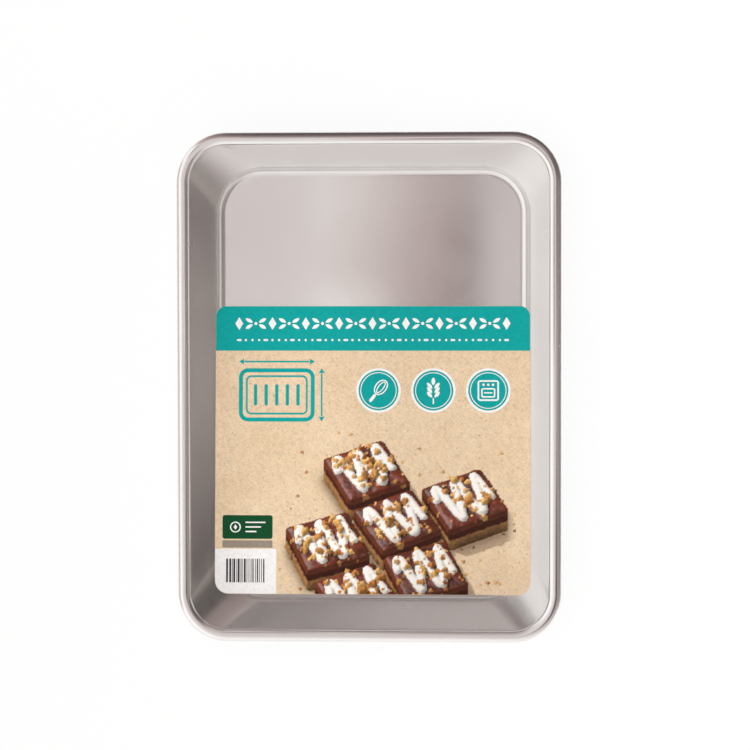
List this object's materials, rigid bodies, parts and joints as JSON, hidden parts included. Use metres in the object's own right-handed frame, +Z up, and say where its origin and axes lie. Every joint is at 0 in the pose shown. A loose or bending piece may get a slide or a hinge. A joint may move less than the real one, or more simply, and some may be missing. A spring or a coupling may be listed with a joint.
{
  "type": "oblong cake pan",
  "caption": "Oblong baking pan drawn from aluminium sheet, with rounded corners, sloping walls and a wire-stiffened rolled rim, holding a loose printed board card that lifts out.",
  "frame": {"origin": "middle of the underside of the pan's floor, on the surface that the pan stands on", "axes": "+Z up out of the pan, +Y along its length towards the end where the floor is bare, +X across it"},
  "size_m": [0.245, 0.325, 0.055],
  "materials": {
    "aluminium_sheet": "uncoated satin drawn sheet",
    "steel_wire": "drawn wire, hidden in the rim",
    "kraft_board": "matt kraft board with a teal printed band"
  },
  "bodies": {
    "pan": {"pan_shell": "aluminium_sheet", "rim_wire": "steel_wire"},
    "card": {"insert_card": "kraft_board"}
  },
  "joints": [
    {"name": "card_lift", "type": "slide", "parent": "pan", "child": "card", "axis": [0, 0, 1], "range_m": [0, 0.09]}
  ]
}
